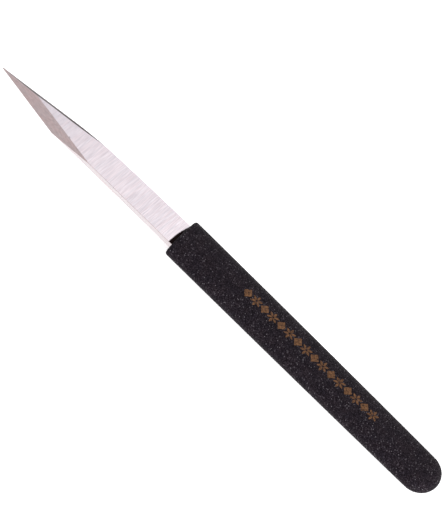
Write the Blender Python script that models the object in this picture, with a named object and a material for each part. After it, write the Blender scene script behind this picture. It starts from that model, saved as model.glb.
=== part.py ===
"""Chip carving knife: a flat steel bar ground to a point from one face, in a slim oval grip.

It lies on the broad side of the grip. +X runs along the knife from point to butt, +Y is the
spine side, +Z is up, and the ground face of the blade looks up. Lengths are in millimetres
until metres() places them.
"""

import math

import bmesh
import bpy
from mathutils import Vector

MM = 0.001
GAP = 0.3  # between neighbouring pieces
OVERLAP = 1.0  # how far a cutter or a joined shape runs past the face it meets

OVERALL_LENGTH = 190.9
BLADE_LENGTH = 78.0
GRIP_WIDTH = 16.2
GRIP_HEIGHT = 7.8
SIDE_SHIFT = 0.24  # puts the middle of the whole knife's width on the X axis

# Steel bar: outline in plan, from the point
BAR_THICKNESS = 2.05
POINT = (0.0, 0.24)
HEEL = (26.3, -4.84)
LOWER_ROOT_Y = -5.18
CLIP_STRAIGHT_END = (28.5, 3.84)
CLIP_EASE = ((31.5, 4.10), (34.7, 4.30), (37.9, 4.44))
SHOULDER = (41.0, 4.55)
SPINE_EASE = ((47.4, 4.76), (56.8, 4.98))
UPPER_ROOT_Y = 5.18

# Ground facets, both on the upper face
BEVEL_WIDTH = 2.68
CLIP_FACET_SLOPE = 0.72
CLIP_RIDGE_RISE = 0.0408  # height gained by the clip's ridge for each unit of length

# Hidden end of the bar, a little thinner than its bare length
BARE_END = 77.8
ROOT_WIDTH = 10.2
ROOT_END = 81.0
TANG_END = 160.0
TANG_WIDTH = 7.0
TANG_END_WIDTH = 5.0
TANG_THICKNESS = 1.65
PIN_STATIONS = (100.0, 140.0)
PIN_DIAMETER = 2.4
PIN_LENGTH = 4.4

# Grip
SECTION_POWER = 2.2
GRIP_TAPER = 0.083  # part of the width lost between the front and the dome
CENTRE_DRIFT = 0.0105  # the grip's middle falls towards the edge side by this part of its length
DOME_LENGTH = 7.1
LIP_RADIUS = 0.9
SLEEVE_WALL = 1.2
FRONT_WALL = 1.5
SECTION_POINTS = 48
BODY_STATIONS = 12
DOME_STATIONS = 9
LIP_STATIONS = 4
ADHESIVE_BEAD = 0.6
ADHESIVE_START = 83.0

MATERIALS = {
    "steel": ((0.80, 0.78, 0.78), 1.0, 0.28),
    "grip": ((0.030, 0.025, 0.028), 0.0, 0.62),
    "core_wood": ((0.62, 0.44, 0.27), 0.0, 0.60),
    "adhesive": ((0.72, 0.60, 0.36), 0.0, 0.35),
    "pin_steel": ((0.62, 0.61, 0.60), 1.0, 0.35),
}


def metres(along, across, height):
    """A point of the knife in the world: along from the point, height from the grip's middle."""
    x = (along - OVERALL_LENGTH / 2) * MM
    y = (across + SIDE_SHIFT) * MM
    z = (height + GRIP_HEIGHT / 2) * MM
    return Vector((x, y, z))


def material(name):
    found = bpy.data.materials.get(name)
    if found:
        return found
    color, metallic, roughness = MATERIALS[name]
    made = bpy.data.materials.new(name)
    made.use_nodes = True
    shader = made.node_tree.nodes["Principled BSDF"]
    shader.inputs["Base Color"].default_value = (*color, 1.0)
    shader.inputs["Metallic"].default_value = metallic
    shader.inputs["Roughness"].default_value = roughness
    made.diffuse_color = (*color, 1.0)
    return made


def add_object(name, bm, slot=None):
    """Turns a bmesh into a named object, with its normals facing out."""
    bmesh.ops.recalc_face_normals(bm, faces=bm.faces)
    mesh = bpy.data.meshes.new(name)
    bm.to_mesh(mesh)
    bm.free()
    obj = bpy.data.objects.new(name, mesh)
    bpy.context.scene.collection.objects.link(obj)
    if slot:
        mesh.materials.append(material(slot))
    return obj


def as_cutter(obj):
    obj.hide_render = True
    obj.display_type = "WIRE"
    return obj


def combine(obj, other, operation):
    modifier = obj.modifiers.new(other.name, "BOOLEAN")
    modifier.operation = operation
    modifier.object = other
    modifier.solver = "EXACT"


def prism(outline, low, high):
    """A closed prism over a plan outline, between two heights."""
    bm = bmesh.new()
    floor = [bm.verts.new(metres(x, y, low)) for x, y in outline]
    bottom = bm.faces.new(floor)
    raised = bmesh.ops.extrude_face_region(bm, geom=[bottom])["geom"]
    moved = [item for item in raised if isinstance(item, bmesh.types.BMVert)]
    bmesh.ops.translate(bm, verts=moved, vec=(0, 0, (high - low) * MM))
    bmesh.ops.recalc_face_normals(bm, faces=bm.faces)
    return bm


def loft(rings, ends):
    """A closed body through rings of points; an end is a point, or None for a flat cap."""
    bm = bmesh.new()
    rows = [[bm.verts.new(p) for p in ring] for ring in rings]
    count = len(rows[0])
    for row, following in zip(rows, rows[1:]):
        for i in range(count):
            j = (i + 1) % count
            bm.faces.new((row[i], row[j], following[j], following[i]))
    for row, end in zip((rows[0], rows[-1]), ends):
        if end is None:
            bm.faces.new(row)
            continue
        pole = bm.verts.new(end)
        for i in range(count):
            bm.faces.new((row[i], row[(i + 1) % count], pole))
    return bm


def slice_off(bm, point, normal):
    """Removes what lies on the normal's side of a plane, and closes the cut."""
    everything = bm.verts[:] + bm.edges[:] + bm.faces[:]
    cut = bmesh.ops.bisect_plane(
        bm, geom=everything, dist=1e-7, plane_co=point, plane_no=normal, clear_outer=True
    )["geom_cut"]
    rim = [item for item in cut if isinstance(item, bmesh.types.BMEdge)]
    bmesh.ops.holes_fill(bm, edges=rim)


def plane_normal(first, second, third):
    normal = (second - first).cross(third - first).normalized()
    return normal if normal.z > 0 else -normal


def cylinder(name, along, diameter, length, slot=None, segments=32):
    bm = bmesh.new()
    bmesh.ops.create_cone(
        bm,
        cap_ends=True,
        segments=segments,
        radius1=diameter / 2 * MM,
        radius2=diameter / 2 * MM,
        depth=length * MM,
    )
    bmesh.ops.translate(bm, verts=bm.verts, vec=metres(along, 0.0, 0.0))
    return add_object(name, bm, slot)


def tang_outline(margin, end_margin, start):
    """The tang's plan outline, grown sideways by margin and lengthways by end_margin."""
    root = TANG_WIDTH / 2 + margin
    tip = TANG_END_WIDTH / 2 + margin
    end = TANG_END + end_margin
    return [(start, -root), (end, -tip), (end, tip), (start, root)]


def grip_scale(along):
    part = (along - BLADE_LENGTH) / (OVERALL_LENGTH - DOME_LENGTH - BLADE_LENGTH)
    return 1 - GRIP_TAPER * part * part


def grip_ring(along, inset, shrink=1.0):
    """One cross-section of the grip, drawn in by inset and then scaled by shrink."""
    taper = grip_scale(min(along, OVERALL_LENGTH - DOME_LENGTH))
    half_width = (GRIP_WIDTH / 2 * taper - inset) * shrink
    half_height = (GRIP_HEIGHT / 2 * taper - inset) * shrink
    centre = -CENTRE_DRIFT * (along - BLADE_LENGTH)
    ring = []
    for i in range(SECTION_POINTS):
        angle = 2 * math.pi * i / SECTION_POINTS
        c = math.cos(angle)
        s = math.sin(angle)
        y = half_width * math.copysign(abs(c) ** (2 / SECTION_POWER), c)
        z = half_height * math.copysign(abs(s) ** (2 / SECTION_POWER), s)
        ring.append(metres(along, centre + y, z))
    return ring


def grip_solid(start, inset, lip=0.0):
    """The grip's body drawn in by inset, from start to its domed end."""
    rings = []
    if lip:
        for i in range(LIP_STATIONS):
            angle = math.pi / 2 * i / LIP_STATIONS
            drawn = lip * (1 - math.sin(angle))
            rings.append(grip_ring(start + lip * (1 - math.cos(angle)), inset + drawn))
        start += lip
    dome_start = OVERALL_LENGTH - DOME_LENGTH
    for i in range(BODY_STATIONS):
        rings.append(grip_ring(start + (dome_start - start) * i / BODY_STATIONS, inset))
    dome = DOME_LENGTH - inset
    for i in range(DOME_STATIONS):
        angle = math.pi / 2 * i / DOME_STATIONS
        rings.append(grip_ring(dome_start + dome * math.sin(angle), inset, math.cos(angle)))
    end = dome_start + dome
    pole = metres(end, -CENTRE_DRIFT * (end - BLADE_LENGTH), 0.0)
    return loft(rings, (None, pole))


def make_blade():
    half = BAR_THICKNESS / 2
    outline = [POINT, HEEL, (BARE_END, LOWER_ROOT_Y), (BARE_END, UPPER_ROOT_Y)]
    outline += [*reversed(SPINE_EASE), SHOULDER, *reversed(CLIP_EASE), CLIP_STRAIGHT_END]
    bm = prism(outline, -half, half)

    point = metres(*POINT, -half)
    heel = metres(*HEEL, -half)
    grind = metres(POINT[0], POINT[1] + BEVEL_WIDTH, half)
    slice_off(bm, point, plane_normal(point, heel, grind))

    ridge_height = -half + CLIP_RIDGE_RISE * CLIP_STRAIGHT_END[0]
    ridge = metres(*CLIP_STRAIGHT_END, ridge_height)
    drop = half - ridge_height
    inner = metres(CLIP_STRAIGHT_END[0], CLIP_STRAIGHT_END[1] - drop / CLIP_FACET_SLOPE, half)
    slice_off(bm, point, plane_normal(point, ridge, inner))

    blade = add_object("blade", bm, "steel")
    root_start = BARE_END - OVERLAP
    root_edge = ROOT_WIDTH / 2
    outline = [(root_start, -root_edge), (ROOT_END, -root_edge)]
    outline += tang_outline(0.0, 0.0, ROOT_END)
    outline += [(ROOT_END, root_edge), (root_start, root_edge)]
    tang = prism(outline, -TANG_THICKNESS / 2, TANG_THICKNESS / 2)
    combine(blade, as_cutter(add_object("tang_shape", tang)), "UNION")
    for name, along in zip(("front", "rear"), PIN_STATIONS):
        hole = cylinder(f"tang_hole_{name}", along, PIN_DIAMETER + 2 * GAP, 2 * PIN_LENGTH)
        combine(blade, as_cutter(hole), "DIFFERENCE")
    return blade


def make_core_halves():
    """Two wooden scales, routed for the tang and its adhesive and drilled for the pins."""
    start = ROOT_END + GAP
    inset = SLEEVE_WALL + GAP
    margin = ADHESIVE_BEAD + 2 * GAP
    depth = TANG_THICKNESS / 2 + GAP
    pocket = prism(tang_outline(margin, margin, start - OVERLAP), -depth, depth)
    cutters = [as_cutter(add_object("tang_pocket", pocket))]
    for name, along in zip(("front", "rear"), PIN_STATIONS):
        hole = cylinder(f"core_hole_{name}", along, PIN_DIAMETER + 2 * GAP, 2 * GRIP_HEIGHT)
        cutters.append(as_cutter(hole))
    for name, side in (("core_scale_upper", 1), ("core_scale_lower", -1)):
        bm = grip_solid(start, inset)
        slice_off(bm, metres(start, 0.0, side * GAP / 2), Vector((0, 0, -side)))
        scale = add_object(name, bm, "core_wood")
        for cutter in cutters:
            combine(scale, cutter, "DIFFERENCE")


def make_adhesive():
    """A bead along both edges of the tang and round its end."""
    inner = tang_outline(GAP, GAP, ADHESIVE_START)
    outer = tang_outline(GAP + ADHESIVE_BEAD, GAP + ADHESIVE_BEAD, ADHESIVE_START)
    outline = [outer[0], outer[1], outer[2], outer[3], inner[3], inner[2], inner[1], inner[0]]
    bm = prism(outline, -TANG_THICKNESS / 2, TANG_THICKNESS / 2)
    add_object("tang_adhesive", bm, "adhesive")


def make_pins():
    for name, along in zip(("front", "rear"), PIN_STATIONS):
        pin = cylinder(f"tang_pin_{name}", along, PIN_DIAMETER, PIN_LENGTH, "pin_steel")
        for face in pin.data.polygons:
            face.use_smooth = len(face.vertices) == 4


def make_sleeve():
    sleeve = add_object("grip_sleeve", grip_solid(BLADE_LENGTH, 0.0, LIP_RADIUS), "grip")
    cavity = grip_solid(BLADE_LENGTH + FRONT_WALL, SLEEVE_WALL)
    combine(sleeve, as_cutter(add_object("sleeve_cavity", cavity)), "DIFFERENCE")
    edge = ROOT_WIDTH / 2 + GAP
    start = BLADE_LENGTH - OVERLAP
    end = BLADE_LENGTH + FRONT_WALL + OVERLAP
    outline = [(start, -edge), (end, -edge), (end, edge), (start, edge)]
    half = TANG_THICKNESS / 2 + GAP
    slot = as_cutter(add_object("bar_slot", prism(outline, -half, half)))
    combine(sleeve, slot, "DIFFERENCE")
    sleeve.data.shade_smooth()


for old in list(bpy.data.objects):
    bpy.data.objects.remove(old, do_unlink=True)

make_blade()
make_core_halves()
make_adhesive()
make_pins()
make_sleeve()
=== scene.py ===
"""The looks of the chip carving knife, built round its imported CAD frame.

+X runs along the knife from point to butt, +Y is the spine side and +Z is up. Lengths here are in
millimetres until in_frame() or MM turns them into metres. A station is a distance from the point,
and a height is measured from the middle of the grip.
"""

import math

import bmesh
import bpy
import numpy as np
from mathutils import Matrix, Vector, noise


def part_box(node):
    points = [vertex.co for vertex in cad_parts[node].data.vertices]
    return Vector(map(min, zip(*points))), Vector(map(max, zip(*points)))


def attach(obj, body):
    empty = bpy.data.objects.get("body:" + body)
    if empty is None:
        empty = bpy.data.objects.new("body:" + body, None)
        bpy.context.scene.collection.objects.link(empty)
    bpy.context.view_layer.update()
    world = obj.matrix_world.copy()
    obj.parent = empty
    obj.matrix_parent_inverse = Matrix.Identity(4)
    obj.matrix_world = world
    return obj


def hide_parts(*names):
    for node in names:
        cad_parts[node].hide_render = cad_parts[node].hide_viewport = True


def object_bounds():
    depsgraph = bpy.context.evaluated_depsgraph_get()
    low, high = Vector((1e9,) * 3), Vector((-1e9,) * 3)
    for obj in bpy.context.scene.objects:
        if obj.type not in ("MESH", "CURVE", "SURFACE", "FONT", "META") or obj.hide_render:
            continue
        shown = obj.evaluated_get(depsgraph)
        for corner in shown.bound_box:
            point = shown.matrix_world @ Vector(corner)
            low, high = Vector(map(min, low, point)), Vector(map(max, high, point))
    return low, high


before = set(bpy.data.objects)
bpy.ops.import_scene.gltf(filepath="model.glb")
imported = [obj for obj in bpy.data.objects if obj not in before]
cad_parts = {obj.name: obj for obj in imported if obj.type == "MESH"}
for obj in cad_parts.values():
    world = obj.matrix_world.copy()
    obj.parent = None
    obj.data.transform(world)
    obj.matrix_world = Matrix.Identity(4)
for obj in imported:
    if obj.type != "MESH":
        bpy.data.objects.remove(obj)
cad_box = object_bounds()

MM = 0.001

# Places that the frame gives
POINT_X = cad_box[0].x / MM
GRIP_LOW, GRIP_HIGH = (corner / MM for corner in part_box("grip_sleeve"))
FRONT = GRIP_LOW.x - POINT_X
BUTT = GRIP_HIGH.x - POINT_X
GRIP_HEIGHT = GRIP_HIGH.z - GRIP_LOW.z
MID_HEIGHT = GRIP_HEIGHT / 2
SIDE_SHIFT = 0.24  # the line that y is measured from lies this far to the frame's +Y side

# Bar: its outline in plan as (station, y) points, and its ground facets
HALF_BAR = 1.025  # half of its thickness
BARE_END = 78.6
POINT_Y = -0.10
HEEL = (25.9, -5.15)
LOWER = ((0.0, POINT_Y), HEEL, (38.0, -5.20), (BARE_END, -5.42))
CLIP_START = (0.0, 0.34)
CLIP_END = (28.5, 3.84)
SPINE = (
    CLIP_START,
    CLIP_END,
    (31.5, 4.10),
    (34.7, 4.30),
    (37.9, 4.44),
    (41.0, 4.55),
    (47.4, 4.76),
    (56.8, 4.98),
    (BARE_END, 5.18),
)
BEVEL_WIDTH = 2.92  # at the point
GRIND_SLOPE = 0.192  # the grind line runs a little flatter than the cutting edge
GRIND_WANDER = 0.05  # how far hand grinding strays from that line
WANDER_LENGTH = 4.0
FULL_WANDER = 10.0  # the wander grows from nothing at the point to all of itself here
CLIP_SLOPES = ((19.0, 0.72), (31.0, 0.54), (40.0, 0.46))  # the clip facet flattens towards its end
CLIP_RIDGE_RISE = 0.0408  # per millimetre, of the clip facet where it meets the clip's line
BROKEN_EDGE = 0.08  # small chamfer that stoning leaves along the bar's long corners
BROKEN_RISE = 0.4  # on a facet the chamfer's far side lies higher by this part of its width
BLADE_SPACING = 0.5
TURN_CLEARANCE = 0.12  # an even station this close to a turn gives way to it
SHARP_ANGLE = math.radians(12)  # corners over this stay crisp

# Marks on the upper face, and a painted shadow: the grip lip's shadow is painted near black beside
# the grip and ends on a wide arc.
LIP_SHADOW_DEPTH = 1.23
LIP_SHADOW_ARC = 36.0
LIP_SHADOW_DEEPEST_Y = -3.0
PIT = (31.1, -3.1)
PIT_RADIUS = 0.20
UNDIMMED_LENGTH = 5.7  # the face is left lighter this close to the grip, and a little darker everywhere else
DIMMED_CENTRE = -30.0
HONED_CENTRE = 14.0
HONED_RADIUS = 18.0

# Hidden end of the bar
ROOT_SECTION = (10.2, 1.65)
ROOT_END = 81.0
TANG_SECTIONS = ((ROOT_END, 7.0), (160.0, 5.0))  # (station, width)
PIN_STATIONS = (100.0, 140.0)
PIN_HOLE_DIAMETER = 3.0
DRILL_LENGTH = 8.0

# Grip
GRIP_WIDTH = 16.55
SECTION_POWER = 2.2  # of the superellipse that the section follows
GRIP_TAPER = 0.072  # the part of its size that the section has lost at the butt
CENTRE_OFFSET = -0.06
CENTRE_DRIFT = 0.0102  # the centre line runs this much towards the edge side per millimetre
DOME_LENGTH = 7.1
LIP_RADIUS = 0.9
SLEEVE_WALL = 1.2
FRONT_WALL = 1.5
COLLAR_RISE = 0.05  # the front face swells this far forward where it meets the bar
COLLAR_FADE = 1.6  # the swelling is gone at 1/1.6 of the way out to the lip
GRAIN_FADE = 2.5  # the grain is full at 1/2.5 of that way
SLOT_HALF = (5.48, 1.05)
FRONT_SLANT = 0.05  # slope of the front face out of square, which fades over SLANT_LENGTH
SLANT_LENGTH = 8.0
PROFILE_SAMPLES = 4001
RING_POINTS = 184
BODY_SPACING = 0.24
FRONT_CELLS = 16
LIP_CELLS = 7
DOME_CELLS = 46
CAVITY_DOME_CELLS = 8
CAVITY_BODY_CELLS = 12

# Moulded grain: pebbles all over, with crumbs that stand up and pores that sink in
PEBBLE_SIZE = 0.5
PEBBLE_DEPTH = 0.045
PEBBLE_STEEPNESS = 1.7
RIPPLE_SIZE = 0.3
RIPPLE_DEPTH = 0.012
GRAIN_SPACING = 0.95  # of the cells that may hold a crumb or a pore
SEED_SPREAD = 7.31  # keeps neighbouring cells from drawing the same lot
CRUMB_SHARE = 0.22
CRUMB_RADIUS = 0.20
CRUMB_HEIGHT = 0.04
PORE_SHARE = 0.20
PORE_RADIUS = 0.28
PORE_DEPTH = 0.09

# Ornament: a stamped foil border along the top of the grip
ORNAMENT_STATIONS = (104.3, 163.0)
ORNAMENT_WIDTH = 4.5
ORNAMENT_MOTIFS = 16
LOZENGE_SIZE = (0.76, 0.86)  # along and across, as parts of the ornament's width
LOZENGE_EYE = 0.10  # opening in its middle, as a part of its size
PETALS = 6
PETAL_START = 0.3
PETAL_REACH = 0.96  # as a part of half of the ornament's width
PETAL_HALF_WIDTH = 0.42
FOIL_LIFT = 0.03
FOIL_CELL = 0.12
FOIL_THICKNESS = 0.05
WEAR_SIZE = 1.9
FINE_WEAR_SIZE = 0.45
FINE_WEAR_SHARE = 0.7
RUBBED_ABOVE = 0.74  # foil is missing where the wear noise is over this
SMALLEST_FLAKE = 8  # faces that a loose flake of foil needs to hold on

# Studio
FLOOR_HALF_SIZE = 1500.0
FLOOR_HEIGHT = -0.02  # just under the frame's lowest point
FLOOR_GLOW = 0.62
WORLD_BRIGHTNESS = 0.60

# Camera
LEAN = math.radians(7.5)
TIP = math.radians(38.5)
ROLL = math.radians(44.0)
AIM = Vector((-3.351, 5.140, 3.9)) * MM
VIEW_WIDTH = 139.39 * MM
LENS = 800.0
SENSOR = 36.0


def in_frame(station, across, height):
    """A point of the knife in the frame, in metres."""
    return Vector((POINT_X + station, across + SIDE_SHIFT, height + MID_HEIGHT)) * MM


# ---------------------------------------------------------------- materials


def add_node(tree, kind, inputs=None, **settings):
    """Adds a shader node; an input is a value, or a socket to link."""
    node = tree.nodes.new(kind)
    for name, value in settings.items():
        setattr(node, name, value)
    for name, value in (inputs or {}).items():
        if isinstance(value, bpy.types.NodeSocket):
            tree.links.new(value, node.inputs[name])
        else:
            node.inputs[name].default_value = value
    return node


def surface(name, metallic, roughness, specular=0.5):
    """A new material, and its node tree and shader."""
    made = bpy.data.materials.new(name)
    made.use_nodes = True
    shader = made.node_tree.nodes["Principled BSDF"]
    shader.inputs["Metallic"].default_value = metallic
    shader.inputs["Roughness"].default_value = roughness
    shader.inputs["Specular IOR Level"].default_value = specular
    return made, made.node_tree, shader


def stretched(tree, cell):
    """Object coordinates scaled so that one unit is cell = (x, y, z) millimetres."""
    place = add_node(tree, "ShaderNodeTexCoord").outputs["Object"]
    scale = [1 / (size * MM) for size in cell]
    return add_node(tree, "ShaderNodeMapping", {"Vector": place, "Scale": scale}).outputs[0]


def noise_value(tree, cell, detail=2.0, roughness=0.5, distortion=0.0):
    """A noise pattern that is stretched to a cell in millimetres."""
    inputs = {
        "Vector": stretched(tree, cell),
        "Scale": 1.0,
        "Detail": detail,
        "Roughness": roughness,
        "Distortion": distortion,
    }
    return add_node(tree, "ShaderNodeTexNoise", inputs).outputs["Fac"]


def ramp(tree, value, *stops):
    """A colour ramp; a stop is (position, colour) or (position, grey)."""
    node = add_node(tree, "ShaderNodeValToRGB", {"Fac": value})
    points = node.color_ramp.elements
    while len(points) < len(stops):
        points.new(0.5)
    for point, (position, colour) in zip(points, stops):
        if isinstance(colour, float):
            colour = (colour, colour, colour)
        point.position = position
        point.color = (*colour, 1.0)
    return node.outputs["Color"]


def spread(tree, value, low, high):
    """Maps the middle half of a noise's range to the numbers low to high."""
    inputs = {"Value": value, "From Min": 0.25, "From Max": 0.75, "To Min": low, "To Max": high}
    return add_node(tree, "ShaderNodeMapRange", inputs).outputs["Result"]


def mix(tree, share, first, second, blend="MIX"):
    """Mixes two colours; each input is a value, or a socket to link."""
    node = add_node(tree, "ShaderNodeMix", data_type="RGBA", blend_type=blend)
    for socket, value in (
        (node.inputs["Factor"], share),
        (node.inputs[6], first),
        (node.inputs[7], second),
    ):
        if isinstance(value, bpy.types.NodeSocket):
            tree.links.new(value, socket)
        elif isinstance(value, float):
            socket.default_value = value
        else:
            socket.default_value = (*value, 1.0)
    return node.outputs[2]


def near_point(tree, centre, radius, blur, ragged):
    """1 within a radius of a point of the knife and 0 outside, with a blurred and ragged edge."""
    place = add_node(tree, "ShaderNodeTexCoord").outputs["Object"]
    inputs = {0: place, 1: in_frame(*centre)}
    away = add_node(tree, "ShaderNodeVectorMath", inputs, operation="DISTANCE").outputs["Value"]
    wobble = spread(tree, noise_value(tree, (0.6, 0.6, 0.6)), -ragged * MM, ragged * MM)
    away = add_node(tree, "ShaderNodeMath", {0: away, 1: wobble}, operation="ADD").outputs[0]
    inputs = {
        "Value": away,
        "From Min": (radius - blur) * MM,
        "From Max": (radius + blur) * MM,
        "To Min": 1.0,
        "To Max": 0.0,
    }
    return add_node(tree, "ShaderNodeMapRange", inputs).outputs["Result"]


def bump(tree, shader, height, depth):
    """Presses a height pattern, depth millimetres deep, into the shader's normal."""
    inputs = {"Height": height, "Distance": depth * MM}
    normal = add_node(tree, "ShaderNodeBump", inputs).outputs["Normal"]
    tree.links.new(normal, shader.inputs["Normal"])


def ground_steel(name, light, dark, roughness, lines, grain_depth=0.002, marks=()):
    """Steel with fine grinding lines; lines is the size of one streak along, across and up.

    A mark is a disc on the steel: (centre, radius, blur, ragged, tint, roughness inside it).
    """
    made, tree, shader = surface(name, 1.0, roughness)
    streaks = noise_value(tree, lines, 3.0, 0.65)
    tint = noise_value(tree, [3 * size for size in lines], 2.0, 0.5)
    colour = ramp(tree, streaks, (0.34, dark), (0.66, light))
    cool = ramp(tree, tint, (0.40, (0.96, 0.985, 1.0)), (0.60, (1.0, 0.985, 0.99)))
    colour = mix(tree, 1.0, colour, cool, "MULTIPLY")
    rough = spread(tree, streaks, roughness * 1.25, roughness * 0.8)
    for *disc, tint, dull in marks:
        inside = near_point(tree, *disc)
        colour = mix(tree, inside, colour, tint, "MULTIPLY")
        rough = mix(tree, inside, rough, (dull, dull, dull))
    tree.links.new(colour, shader.inputs["Base Color"])
    tree.links.new(rough, shader.inputs["Roughness"])
    bump(tree, shader, streaks, grain_depth)
    return made


def specks(tree, cell, size, share):
    """Round specks: cell is their spacing, size a part of it, and share how many show."""
    inputs = {"Vector": stretched(tree, (cell, cell, cell)), "Scale": 1.0}
    grains = add_node(tree, "ShaderNodeTexVoronoi", inputs)
    dots = ramp(tree, grains.outputs["Distance"], (0.5 * size, 1.0), (size, 0.0))
    shown = ramp(tree, grains.outputs["Color"], (0.97 - share, 0.0), (1.03 - share, 1.0))
    return mix(tree, 1.0, dots, shown, "MULTIPLY")


def face_marks():
    """The marks on the bar's upper face, and the painted shadow of the grip's lip, as ground_steel
    takes them.
    """
    lip_shadow_start = FRONT - COLLAR_RISE - LIP_SHADOW_DEPTH
    lip_shadow_centre = (lip_shadow_start + LIP_SHADOW_ARC, LIP_SHADOW_DEEPEST_Y, HALF_BAR)
    dimmed_centre = (DIMMED_CENTRE, 0.0, HALF_BAR)
    dimmed_radius = FRONT - UNDIMMED_LENGTH - DIMMED_CENTRE
    honed_centre = (HONED_CENTRE, 0.0, HALF_BAR)
    pit_centre = (*PIT, HALF_BAR)
    dimmed = (dimmed_centre, dimmed_radius, 2.5, 0.5, (0.93, 0.925, 0.93), 0.31)
    honed = (honed_centre, HONED_RADIUS, 12.0, 2.0, (0.88, 0.89, 0.895), 0.33)
    pit = (pit_centre, PIT_RADIUS, PIT_RADIUS, 0.12, (0.35, 0.32, 0.32), 0.5)
    # painted shadow: a near-black wedge on the face where the grip's lip shades it
    painted_lip_shadow = (lip_shadow_centre, LIP_SHADOW_ARC, 0.12, 0.08, (0.014, 0.008, 0.008), 0.6)
    return dimmed, honed, pit, painted_lip_shadow


def blade_steels():
    """The steel of each part of the blade."""
    cross_grind = (0.13, 6.0, 6.0)
    return {
        "face": ground_steel(
            "face_steel",
            light=(0.89, 0.81, 0.845),
            dark=(0.61, 0.54, 0.575),
            roughness=0.30,
            lines=cross_grind,
            marks=face_marks(),
        ),
        "bevel": ground_steel(
            "bevel_steel",
            light=(0.80, 0.645, 0.645),
            dark=(0.61, 0.485, 0.485),
            roughness=0.40,
            lines=(1.3, 0.45, 0.45),
        ),
        # painted shade: the clip facet is the face's steel given a near-black base, so that it
        # reads as a dark line
        "clip": ground_steel(
            "clip_steel_painted_shade",
            light=(0.085, 0.058, 0.066),
            dark=(0.050, 0.034, 0.039),
            roughness=0.48,
            lines=(1.5, 0.16, 0.16),
        ),
        # painted shade: the bar's sides are the face's steel with a darkened base, which offsets
        # the bright floor they mirror
        "side": ground_steel(
            "side_steel_painted_shade",
            light=(0.575, 0.525, 0.53),
            dark=(0.51, 0.46, 0.465),
            roughness=0.34,
            lines=(3.0, 0.2, 0.2),
        ),
        "back": ground_steel(
            "back_steel",
            light=(0.80, 0.73, 0.765),
            dark=(0.54, 0.475, 0.51),
            roughness=0.32,
            lines=cross_grind,
        ),
        "tang": ground_steel(
            "tang_steel",
            light=(0.42, 0.38, 0.36),
            dark=(0.24, 0.21, 0.20),
            roughness=0.55,
            lines=(2.0, 1.0, 1.0),
            grain_depth=0.01,
        ),
    }


def grip_material():
    """Black moulded rubber with violet-grey mottling and the mesh's dark pores, with painted
    glints: pale specks, and pale paint on the mesh's raised crumbs.
    """
    made, tree, shader = surface("grip_rubber", 0.0, 0.66, 0.08)
    cloud = noise_value(tree, (3.0, 3.0, 3.0), 3.0, 0.6)
    speck = noise_value(tree, (0.30, 0.30, 0.30), 2.0, 0.75)
    colour = ramp(
        tree,
        speck,
        (0.38, (0.0016, 0.0010, 0.0016)),
        (0.53, (0.0088, 0.0062, 0.0086)),
        (0.69, (0.052, 0.043, 0.051)),
    )
    shade = ramp(tree, cloud, (0.30, (0.72, 0.76, 0.84)), (0.70, (1.20, 1.16, 1.14)))
    colour = mix(tree, 1.0, colour, shade, "MULTIPLY")
    # painted highlights: the pale specks and the pale paint on the raised crumbs stand in for
    # glints off the grain
    painted_glint = (0.15, 0.135, 0.15)
    colour = mix(tree, specks(tree, 0.85, 0.20, 0.42), colour, painted_glint)
    crumb = add_node(tree, "ShaderNodeAttribute", attribute_name="crumb").outputs["Fac"]
    colour = mix(tree, crumb, colour, painted_glint)
    pore = add_node(tree, "ShaderNodeAttribute", attribute_name="pore").outputs["Fac"]
    colour = mix(tree, pore, colour, (0.002, 0.002, 0.002))
    tree.links.new(colour, shader.inputs["Base Color"])
    rough = spread(tree, speck, 0.72, 0.52)
    tree.links.new(rough, shader.inputs["Roughness"])
    bump(tree, shader, speck, 0.05)
    shader.inputs["Specular Tint"].default_value = (1.0, 0.84, 0.98, 1.0)
    return made


def foil_material():
    """Worn bronze stamping foil."""
    made, tree, shader = surface("bronze_foil", 0.75, 0.45)
    wear = noise_value(tree, (0.7, 0.7, 0.7), 3.0, 0.7)
    colour = ramp(
        tree,
        wear,
        (0.34, (0.035, 0.019, 0.011)),
        (0.50, (0.13, 0.060, 0.027)),
        (0.68, (0.21, 0.102, 0.046)),
    )
    tree.links.new(colour, shader.inputs["Base Color"])
    tree.links.new(spread(tree, wear, 0.6, 0.38), shader.inputs["Roughness"])
    bump(tree, shader, noise_value(tree, (0.2, 0.2, 0.2)), 0.02)
    return made


def wood_material():
    """Pale hardwood, its grain running along the grip."""
    made, tree, shader = surface("core_beech", 0.0, 0.6, 0.35)
    rings = noise_value(tree, (38.0, 1.4, 1.0), 3.0, 0.6, 0.6)
    fibres = noise_value(tree, (5.0, 0.16, 0.16), 2.0, 0.6)
    colour = ramp(
        tree,
        rings,
        (0.32, (0.42, 0.26, 0.14)),
        (0.50, (0.60, 0.41, 0.24)),
        (0.68, (0.70, 0.52, 0.33)),
    )
    darker = ramp(tree, fibres, (0.35, 0.72), (0.60, 1.0))
    colour = mix(tree, 1.0, colour, darker, "MULTIPLY")
    tree.links.new(colour, shader.inputs["Base Color"])
    tree.links.new(spread(tree, fibres, 0.7, 0.5), shader.inputs["Roughness"])
    bump(tree, shader, fibres, 0.05)
    return made


def adhesive_material():
    """Cured amber resin with milky streaks."""
    made, tree, shader = surface("amber_resin", 0.0, 0.32)
    cloud = noise_value(tree, (3.0, 1.2, 1.2), 3.0, 0.6, 0.4)
    colour = ramp(tree, cloud, (0.32, (0.50, 0.34, 0.12)), (0.68, (0.80, 0.68, 0.42)))
    tree.links.new(colour, shader.inputs["Base Color"])
    tree.links.new(spread(tree, cloud, 0.25, 0.42), shader.inputs["Roughness"])
    bump(tree, shader, noise_value(tree, (0.7, 0.7, 0.7)), 0.05)
    return made


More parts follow.
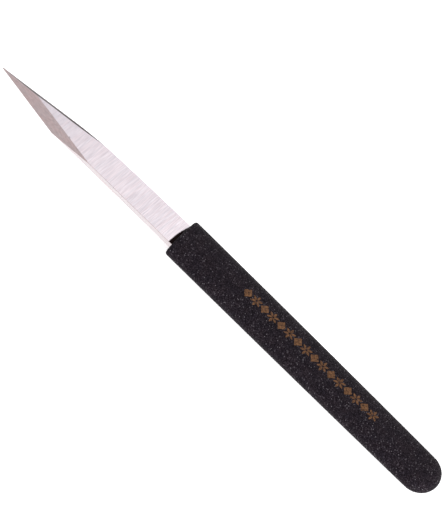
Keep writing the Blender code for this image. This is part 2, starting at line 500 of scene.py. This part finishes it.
def pin_material():
    """Drawn steel wire with lines along its length."""
    made, tree, shader = surface("drawn_pin_steel", 1.0, 0.35)
    lines = noise_value(tree, (0.12, 0.12, 1.6), 2.0, 0.6)
    colour = ramp(tree, lines, (0.30, (0.46, 0.45, 0.44)), (0.70, (0.68, 0.67, 0.66)))
    tree.links.new(colour, shader.inputs["Base Color"])
    tree.links.new(spread(tree, lines, 0.45, 0.28), shader.inputs["Roughness"])
    bump(tree, shader, lines, 0.01)
    return made


# ---------------------------------------------------------------- meshes


def new_piece(name, bm, materials, replaced=()):
    """Turns a bmesh into a piece that rides on the frame."""
    mesh = bpy.data.meshes.new(name)
    bm.to_mesh(mesh)
    bm.free()
    piece = bpy.data.objects.new(name, mesh)
    bpy.context.scene.collection.objects.link(piece)
    for entry in materials:
        mesh.materials.append(entry)
    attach(piece, "root")
    if replaced:
        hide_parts(*replaced)
    return piece


def value_at(points, station):
    """The value at a station of a bent line, given by its (station, value) points."""
    stations, values = zip(*points)
    return float(np.interp(station, stations, values))


def edge_line(station):
    """The cutting edge's line, carried on past the heel."""
    return POINT_Y + (HEEL[1] - POINT_Y) / HEEL[0] * station


def clip_line(station):
    """The clip's straight line, carried on past its end."""
    return CLIP_START[1] + (CLIP_END[1] - CLIP_START[1]) / CLIP_END[0] * station


def clip_ridge(station):
    """Height at which the clip facet would meet the clip's straight line."""
    return -HALF_BAR + CLIP_RIDGE_RISE * station


def clip_edge(station):
    """Where the clip facet meets the upper face."""
    return clip_line(station) - (HALF_BAR - clip_ridge(station)) / value_at(CLIP_SLOPES, station)


def grind_line(station):
    """Where the bevel meets the upper face, before the grinder's wander."""
    return POINT_Y + BEVEL_WIDTH - GRIND_SLOPE * station


def crossing(gap, low, high):
    """The station from low to high where a gap between two lines closes."""
    for _ in range(40):
        middle = (low + high) / 2
        if (gap(low) < 0) == (gap(middle) < 0):
            low = middle
        else:
            high = middle
    return low


def grind_wander(station):
    """How far hand grinding leaves the bevel's lines from straight."""
    sway = GRIND_WANDER * noise.noise(Vector((station / WANDER_LENGTH, 0.3, 0.0)))
    return sway * min(1.0, station / FULL_WANDER)


def blade_corners(station):
    """The bar's cross-section at a station: (y, height) of its corners, round from the edge."""
    low = value_at(LOWER, station)
    high = value_at(SPINE, station)
    wander = grind_wander(station)
    foot = edge_line(station) + wander
    slope = 2 * HALF_BAR / (grind_line(station) - edge_line(station))
    clip_slope = value_at(CLIP_SLOPES, station)
    ridge = clip_ridge(station)
    crest = clip_line(station)

    def bevel(y):
        return -HALF_BAR + slope * max(0.0, y - foot)

    def clip(y):
        return ridge + clip_slope * (crest - y)

    edge_top = min(HALF_BAR, bevel(low))
    spine_top = min(HALF_BAR, clip(high))
    broken = min(BROKEN_EDGE, (edge_top + HALF_BAR) / 3)
    spine_broken = min(BROKEN_EDGE, (spine_top + HALF_BAR) / 3)
    grind = min(high, max(low + broken, grind_line(station) + wander))
    inner = max(low, min(high - spine_broken, clip_edge(station)))
    if grind < inner:
        tops = [(grind, HALF_BAR), (inner, HALF_BAR)]
    else:
        meet = (ridge + clip_slope * crest + HALF_BAR + slope * foot) / (slope + clip_slope)
        meet = min(high, max(low, meet))
        tops = [(meet, min(HALF_BAR, bevel(meet)))] * 2
    grind_foot = min(edge_top + BROKEN_RISE * broken, tops[0][1])
    clip_foot = min(spine_top + BROKEN_RISE * spine_broken, tops[1][1])
    return [
        (low + broken, -HALF_BAR),
        (low, -HALF_BAR + broken),
        (low, edge_top - broken),
        (min(low + broken, tops[0][0]), grind_foot),
        *tops,
        (max(high - spine_broken, tops[1][0]), clip_foot),
        (high, spine_top - spine_broken),
        (high, -HALF_BAR + spine_broken),
        (high - spine_broken, -HALF_BAR),
    ]


# Cells along each side of the bar's section, and the steel of each side, round from the edge
BLADE_SIDES = (1, 4, 1, 9, 16, 5, 1, 5, 1, 14)
STEEL_PARTS = ("side", "side", "bevel", "bevel", "face", "clip", "side", "side", "side", "back")


def ring_of(corners, cells):
    """Points round a closed outline, with that many cells along each of its sides."""
    points = []
    for i, count in enumerate(cells):
        start = np.array(corners[i])
        end = np.array(corners[(i + 1) % len(corners)])
        points += [start + (end - start) * j / count for j in range(count)]
    return points


def box_corners(half_width, half_height):
    """A rectangle's outline with as many corners as the bar's."""
    left, right = -half_width, half_width
    low, high = -half_height, half_height
    return [
        (left, low),
        (left, low),
        (left, high),
        (left, high),
        (left, high),
        (right, high),
        (right, high),
        (right, high),
        (right, low),
        (right, low),
    ]


def blade_stations():
    """Even stations along the bar, with every station where an outline or a facet turns."""
    turns = [station for station, _ in SPINE] + [HEEL[0]]
    turns.append(crossing(lambda s: grind_line(s) - clip_edge(s), 5.0, HEEL[0]))
    turns.append(crossing(lambda s: clip_edge(s) - value_at(SPINE, s), CLIP_END[0], BARE_END))
    turns.append(crossing(lambda s: grind_line(s) - value_at(LOWER, s), HEEL[0], BARE_END))
    even = np.arange(0.0, BARE_END, BLADE_SPACING)
    far = [s for s in even if min(abs(s - turn) for turn in turns) > TURN_CLEARANCE]
    return sorted(far + turns)


def make_blade(steels):
    """The ground bar with its tang, as one closed body."""
    bm = bmesh.new()
    rows = []
    for station in blade_stations():
        ring = ring_of(blade_corners(station), BLADE_SIDES)
        rows.append([bm.verts.new(in_frame(station, y, z)) for y, z in ring])
    hidden = [(BARE_END, ROOT_SECTION[0]), (ROOT_END, ROOT_SECTION[0]), *TANG_SECTIONS]
    for station, width in hidden:
        ring = ring_of(box_corners(width / 2, ROOT_SECTION[1] / 2), BLADE_SIDES)
        rows.append([bm.verts.new(in_frame(station, y, z)) for y, z in ring])
    part_of = [part for part, count in zip(STEEL_PARTS, BLADE_SIDES) for _ in range(count)]
    names = list(steels)
    count = len(rows[0])
    for row, following in zip(rows, rows[1:]):
        bare = following[0].co.x < in_frame(BARE_END + 0.01, 0, 0).x
        for i in range(count):
            j = (i + 1) % count
            face = bm.faces.new((row[i], row[j], following[j], following[i]))
            face.material_index = names.index(part_of[i] if bare else "tang")
    bm.faces.new(rows[-1]).material_index = names.index("tang")
    bm.faces.new(rows[0])
    bmesh.ops.remove_doubles(bm, verts=bm.verts, dist=1e-6)
    bmesh.ops.dissolve_degenerate(bm, edges=bm.edges, dist=1e-7)
    bmesh.ops.recalc_face_normals(bm, faces=bm.faces)
    for edge in bm.edges:
        edge.smooth = len(edge.link_faces) == 2 and edge.calc_face_angle() < SHARP_ANGLE
    for face in bm.faces:
        face.smooth = True
    blade = new_piece("ground_blade", bm, list(steels.values()), ("blade",))
    drill_tang(blade)
    return blade


def drill_tang(blade):
    """Cuts the two pin holes, and keeps the result as the blade's own mesh."""
    drills = []
    for station in PIN_STATIONS:
        bm = bmesh.new()
        radius = PIN_HOLE_DIAMETER / 2 * MM
        bmesh.ops.create_cone(
            bm, cap_ends=True, segments=48, radius1=radius, radius2=radius, depth=DRILL_LENGTH * MM
        )
        bmesh.ops.translate(bm, verts=bm.verts, vec=in_frame(station, 0.0, 0.0))
        mesh = bpy.data.meshes.new("drill")
        bm.to_mesh(mesh)
        bm.free()
        drill = bpy.data.objects.new("drill", mesh)
        bpy.context.scene.collection.objects.link(drill)
        cut = blade.modifiers.new("hole", "BOOLEAN")
        cut.operation = "DIFFERENCE"
        cut.object = drill
        drills.append(drill)
    bpy.context.view_layer.update()
    evaluated = blade.evaluated_get(bpy.context.evaluated_depsgraph_get())
    drilled = bpy.data.meshes.new_from_object(evaluated)
    blade.modifiers.clear()
    blade.data = drilled
    for drill in drills:
        bpy.data.objects.remove(drill, do_unlink=True)


def grip_scale(station):
    """How large the grip's section is at a station, as a part of its size at the front."""
    part = (station - FRONT) / (BUTT - DOME_LENGTH - FRONT)
    return 1 - GRIP_TAPER * min(part, 1.0) ** 2


def grip_centre(station):
    """Where the grip's centre line runs."""
    return CENTRE_OFFSET - CENTRE_DRIFT * (station - FRONT)


def unit_profile(count):
    """Points evenly spaced round the grip's section, each coordinate a part of the half size."""
    angle = np.linspace(0.0, 2 * math.pi, PROFILE_SAMPLES)
    cosine, sine = np.cos(angle), np.sin(angle)
    y = np.sign(cosine) * np.abs(cosine) ** (2 / SECTION_POWER)
    z = np.sign(sine) * np.abs(sine) ** (2 / SECTION_POWER)
    steps = np.hypot(np.diff(y) * GRIP_WIDTH, np.diff(z) * GRIP_HEIGHT)
    run = np.concatenate([[0.0], np.cumsum(steps)])
    targets = np.arange(count) / count * run[-1]
    return np.interp(targets, run, y), np.interp(targets, run, z)


PROFILE_Y, PROFILE_Z = unit_profile(RING_POINTS)


def grip_ring(station, inset=0.0, shrink=1.0):
    """One ring of the grip's surface, as rows of (station, y, height)."""
    scale = grip_scale(station)
    y = grip_centre(station) + (GRIP_WIDTH / 2 * scale - inset) * shrink * PROFILE_Y
    z = (GRIP_HEIGHT / 2 * scale - inset) * shrink * PROFILE_Z
    return np.column_stack([np.full(RING_POINTS, station), y, z])


def slot_ring(station, half_width, half_height):
    """A ring round the bar's slot, its points in step with the grip's own."""
    longest = np.maximum(np.abs(PROFILE_Y), np.abs(PROFILE_Z))
    y = half_width * PROFILE_Y / longest
    z = half_height * PROFILE_Z / longest
    return np.column_stack([np.full(RING_POINTS, station), y, z])


def outer_rings():
    """The grip's outside from slot to dome, and how much grain each ring carries."""
    rings = []
    grain = []
    slot = slot_ring(FRONT, *SLOT_HALF)
    lip = grip_ring(FRONT, LIP_RADIUS)
    for i in range(FRONT_CELLS):
        part = i / FRONT_CELLS
        ring = slot + (lip - slot) * part
        ring[:, 0] -= COLLAR_RISE * (0.5 + 0.5 * math.cos(math.pi * min(1.0, part * COLLAR_FADE)))
        rings.append(ring)
        grain.append(min(1.0, GRAIN_FADE * part))
    for i in range(LIP_CELLS):
        angle = math.pi / 2 * i / LIP_CELLS
        drawn = LIP_RADIUS * (1 - math.sin(angle))
        rings.append(grip_ring(FRONT + LIP_RADIUS * (1 - math.cos(angle)), drawn))
    start = FRONT + LIP_RADIUS
    dome_start = BUTT - DOME_LENGTH
    body_cells = round((dome_start - start) / BODY_SPACING)
    for i in range(body_cells):
        rings.append(grip_ring(start + (dome_start - start) * i / body_cells))
    for i in range(DOME_CELLS):
        angle = math.pi / 2 * i / DOME_CELLS
        rings.append(grip_ring(dome_start + DOME_LENGTH * math.sin(angle), 0.0, math.cos(angle)))
    grain += [1.0] * (len(rings) - len(grain))
    for ring in rings:
        fade = np.clip(1 - (ring[:, 0] - FRONT) / SLANT_LENGTH, 0.0, 1.0)
        ring[:, 0] -= FRONT_SLANT * ring[:, 1] * fade
    return rings, grain


def inner_rings():
    """The cavity, from its rounded end forward to the slot."""
    dome_start = BUTT - DOME_LENGTH
    dome = DOME_LENGTH - SLEEVE_WALL
    rings = []
    for angle in np.linspace(math.pi / 2, 0.0, CAVITY_DOME_CELLS, endpoint=False)[1:]:
        station = dome_start + dome * math.sin(angle)
        rings.append(grip_ring(station, SLEEVE_WALL, math.cos(angle)))
    inside = FRONT + FRONT_WALL
    for station in np.linspace(dome_start, inside, CAVITY_BODY_CELLS):
        rings.append(grip_ring(station, SLEEVE_WALL))
    rings.append(slot_ring(inside, *SLOT_HALF))
    return rings


def surface_normals(rings):
    """Outward unit normals of a stack of rings."""
    grid = np.array(rings)
    around = np.roll(grid, -1, axis=1) - np.roll(grid, 1, axis=1)
    along = np.gradient(grid, axis=0)
    normals = np.cross(around, along)
    lengths = np.linalg.norm(normals, axis=2, keepdims=True)
    return normals / np.maximum(lengths, 1e-9)


def seeded(seed, share):
    """Whether the grain cell with this seed point belongs to a share of all cells."""
    return noise.cell(seed * SEED_SPREAD) < share


def grain_at(point):
    """(height, crumb, pore) of the moulded grain at a point given in millimetres."""
    place = Vector(point)
    near, _ = noise.voronoi(place / PEBBLE_SIZE)
    pebble = min(1.0, PEBBLE_STEEPNESS * (near[1] - near[0]))
    ripple = noise.noise(place / RIPPLE_SIZE)
    distances, seeds = noise.voronoi(place / GRAIN_SPACING)
    crumb = 0.0
    pore = 0.0
    if seeded(seeds[0], CRUMB_SHARE):
        crumb = max(0.0, 1 - (distances[0] / CRUMB_RADIUS) ** 2)
    elif not seeded(seeds[0], 1 - PORE_SHARE):
        pore = max(0.0, 1 - (distances[0] / PORE_RADIUS) ** 2)
    height = PEBBLE_DEPTH * (pebble - 1) + RIPPLE_DEPTH * ripple
    height += CRUMB_HEIGHT * crumb - PORE_DEPTH * pore
    return height, crumb, pore


def make_grip(rubber):
    """The grip's sleeve: a grained outside, a front that closes on the bar, and the cavity."""
    outside, grain_share = outer_rings()
    normals = surface_normals(outside)
    bm = bmesh.new()
    crumb_glint_layer = bm.verts.layers.float.new("crumb")
    # the crumb attribute is also the mask where the rubber's material paints glints
    pore_layer = bm.verts.layers.float.new("pore")
    rows = [[bm.verts.new(in_frame(*p)) for p in ring] for ring in inner_rings()]
    first_pole = bm.verts.new(in_frame(BUTT - SLEEVE_WALL, grip_centre(BUTT), 0.0))
    for ring, outward, share in zip(outside, normals, grain_share):
        row = []
        for point, normal in zip(ring, outward):
            height, crumb, pore = grain_at(point)
            vert = bm.verts.new(in_frame(*(point + normal * height * share)))
            vert[crumb_glint_layer] = crumb
            vert[pore_layer] = pore
            row.append(vert)
        rows.append(row)
    last_pole = bm.verts.new(in_frame(BUTT, grip_centre(BUTT), 0.0))
    for row, following in zip(rows, rows[1:]):
        for i in range(RING_POINTS):
            j = (i + 1) % RING_POINTS
            bm.faces.new((row[i], row[j], following[j], following[i]))
    for row, pole in ((rows[0], first_pole), (rows[-1], last_pole)):
        for i in range(RING_POINTS):
            bm.faces.new((row[i], row[(i + 1) % RING_POINTS], pole))
    bmesh.ops.recalc_face_normals(bm, faces=bm.faces)
    for face in bm.faces:
        face.smooth = True
    return new_piece("rubber_grip", bm, [rubber], ("grip_sleeve",))


def on_grip(station, across):
    """A point of the grip's upper side, before its grain, and the outward normal there."""
    scale = grip_scale(station)
    half_width = GRIP_WIDTH / 2 * scale
    half_height = GRIP_HEIGHT / 2 * scale
    part = min(1.0, abs(across) / half_width)
    height = half_height * (1 - part**SECTION_POWER) ** (1 / SECTION_POWER)
    tilt = half_height * part ** (SECTION_POWER - 1) / half_width
    normal = Vector((0.0, math.copysign(tilt, across), 1.0)).normalized()
    return Vector((station, grip_centre(station) + across, height)), normal


def foil_patch(bm, first, second, cells):
    """A strip of foil between two edges; an edge gives (station, across) for a part from 0 to 1."""
    along, wide = cells
    rows = []
    for i in range(along + 1):
        start = Vector(first(i / along))
        end = Vector(second(i / along))
        row = []
        for j in range(wide + 1):
            station, across = start.lerp(end, j / wide)
            point, normal = on_grip(station, across)
            height, _, _ = grain_at(point)
            row.append(bm.verts.new(in_frame(*(point + normal * (height + FOIL_LIFT)))))
        rows.append(row)
    for row, following in zip(rows, rows[1:]):
        for j in range(wide):
            bm.faces.new((row[j], row[j + 1], following[j + 1], following[j]))


def straight(start, end):
    """A straight edge for a patch of foil."""
    return lambda part: Vector(start).lerp(Vector(end), part)


def lozenge(bm, centre, half_length, half_width, inner):
    """A diamond of foil; inner is the size of the opening in its middle, as a part of its own."""
    corners = [(half_length, 0.0), (0.0, half_width), (-half_length, 0.0), (0.0, -half_width)]
    for i, corner in enumerate(corners):
        following = corners[(i + 1) % 4]
        outer_edge = straight(*((centre + x, y) for x, y in (corner, following)))
        opening = [(x * inner, y * inner) for x, y in (corner, following)]
        inner_edge = straight(*((centre + x, y) for x, y in opening))
        side = math.hypot(half_length, half_width)
        cells = (round(side / FOIL_CELL), max(1, round(side * (1 - inner) / 2 / FOIL_CELL)))
        foil_patch(bm, outer_edge, inner_edge, cells)


def petal(bm, centre, angle, start, end, half_width):
    """A lens-shaped petal of foil that points away from the motif's centre."""

    def edge(side):
        # Both tips stay a little open, so that no cell of foil shrinks to a line
        def place(part):
            out = start + (end - start) * part
            wide = side * half_width * math.sin(math.pi * (0.04 + 0.92 * part))
            x = out * math.cos(angle) - wide * math.sin(angle)
            y = out * math.sin(angle) + wide * math.cos(angle)
            return centre + x, y

        return place

    cells = (round((end - start) / FOIL_CELL), round(2 * half_width / FOIL_CELL))
    foil_patch(bm, edge(-1), edge(1), cells)


def islands(bm):
    """The sets of faces that hang together by their edges."""
    found = []
    seen = set()
    for first in bm.faces:
        if first in seen:
            continue
        seen.add(first)
        flake = [first]
        for face in flake:  # the list grows while the loop runs along it
            for edge in face.edges:
                for other in edge.link_faces:
                    if other not in seen:
                        seen.add(other)
                        flake.append(other)
        found.append(flake)
    return found


def make_ornament(foil):
    """A border of lozenges and carved-style rosettes, with small flakes rubbed away."""
    bm = bmesh.new()
    start, end = ORNAMENT_STATIONS
    pitch = (end - start) / ORNAMENT_MOTIFS
    half = ORNAMENT_WIDTH / 2
    for i in range(ORNAMENT_MOTIFS):
        centre = start + pitch * (i + 0.5)
        if i % 2:
            for turn in range(PETALS):
                angle = math.pi / PETALS * (1 + 2 * turn)
                petal(bm, centre, angle, PETAL_START, half * PETAL_REACH, PETAL_HALF_WIDTH)
        else:
            length, width = LOZENGE_SIZE
            lozenge(bm, centre, half * length, half * width, LOZENGE_EYE)
    rubbed = []
    for face in bm.faces:
        place = face.calc_center_median() / MM
        wear = noise.noise(place / WEAR_SIZE)
        wear += FINE_WEAR_SHARE * noise.noise(place / FINE_WEAR_SIZE)
        if wear > RUBBED_ABOVE:
            rubbed.append(face)
    bmesh.ops.delete(bm, geom=rubbed, context="FACES")
    flakes = [flake for flake in islands(bm) if len(flake) < SMALLEST_FLAKE]
    bmesh.ops.delete(bm, geom=[face for flake in flakes for face in flake], context="FACES")
    bmesh.ops.recalc_face_normals(bm, faces=bm.faces)
    ornament = new_piece("foil_ornament", bm, [foil])
    thicken = ornament.modifiers.new("thickness", "SOLIDIFY")
    thicken.thickness = FOIL_THICKNESS * MM
    thicken.offset = -1.0
    return ornament


# ---------------------------------------------------------------- studio


def add_floor():
    """A pale floor that glows a little, so that it stays white round the knife."""
    made, _, shader = surface("pale_floor", 0.0, 0.9, 0.2)
    shader.inputs["Base Color"].default_value = (0.93, 0.93, 0.93, 1.0)
    shader.inputs["Emission Color"].default_value = (1.0, 1.0, 1.0, 1.0)
    shader.inputs["Emission Strength"].default_value = FLOOR_GLOW
    bm = bmesh.new()
    bmesh.ops.create_grid(bm, x_segments=1, y_segments=1, size=FLOOR_HALF_SIZE * MM)
    bmesh.ops.translate(bm, verts=bm.verts, vec=(0.0, 0.0, FLOOR_HEIGHT * MM))
    mesh = bpy.data.meshes.new("studio_floor")
    bm.to_mesh(mesh)
    bm.free()
    mesh.materials.append(made)
    floor = bpy.data.objects.new("studio_floor", mesh)
    bpy.context.scene.collection.objects.link(floor)


def add_softbox(name, direction, distance, size, power):
    """A square area light that faces the knife from a direction; distance and size in metres."""
    light = bpy.data.lights.new(name, "AREA")
    light.shape = "SQUARE"
    light.size = size
    light.energy = power
    lamp = bpy.data.objects.new(name, light)
    towards = Vector(direction).normalized()
    lamp.location = towards * distance
    lamp.rotation_mode = "QUATERNION"
    lamp.rotation_quaternion = towards.to_track_quat("Z", "Y")
    bpy.context.scene.collection.objects.link(lamp)


def add_world(brightness):
    """An even white surround."""
    world = bpy.data.worlds.new("studio")
    world.use_nodes = True
    background = world.node_tree.nodes["Background"]
    background.inputs["Color"].default_value = (1.0, 1.0, 1.0, 1.0)
    background.inputs["Strength"].default_value = brightness
    bpy.context.scene.world = world


def add_camera():
    """A long lens at the photograph's angle, rolled so that the knife falls to the lower right."""
    back = Vector((math.sin(LEAN), -math.cos(LEAN) * math.sin(TIP), math.cos(LEAN) * math.cos(TIP)))
    knife = Vector((1.0, 0.0, 0.0))
    along = (knife - back * knife.dot(back)).normalized()
    across = back.cross(along)
    right = along * math.cos(ROLL) + across * math.sin(ROLL)
    up = across * math.cos(ROLL) - along * math.sin(ROLL)
    camera = bpy.data.cameras.new("camera")
    camera.lens = LENS
    camera.sensor_width = SENSOR
    camera.sensor_fit = "HORIZONTAL"
    holder = bpy.data.objects.new("camera", camera)
    turn = Matrix((right, up, back)).transposed().to_4x4()
    distance = VIEW_WIDTH * LENS / SENSOR
    holder.matrix_world = Matrix.Translation(AIM + back * distance) @ turn
    bpy.context.scene.collection.objects.link(holder)
    bpy.context.scene.camera = holder


make_blade(blade_steels())
make_grip(grip_material())
make_ornament(foil_material())
for node, made in (
    ("core_scale_upper", wood_material()),
    ("core_scale_lower", wood_material()),
    ("tang_adhesive", adhesive_material()),
    ("tang_pin_front", pin_material()),
    ("tang_pin_rear", pin_material()),
):
    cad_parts[node].material_slots[0].material = made

add_floor()
add_world(WORLD_BRIGHTNESS)
# The key light stands where the bar's flat face mirrors it to the camera
add_softbox("key_softbox", (-0.13, 0.617, 0.776), distance=1.4, size=1.5, power=4.6)
add_softbox("fill_softbox", (0.75, -0.45, 0.50), distance=1.4, size=0.6, power=20.0)
add_camera()
bpy.context.scene.view_settings.view_transform = "Standard"
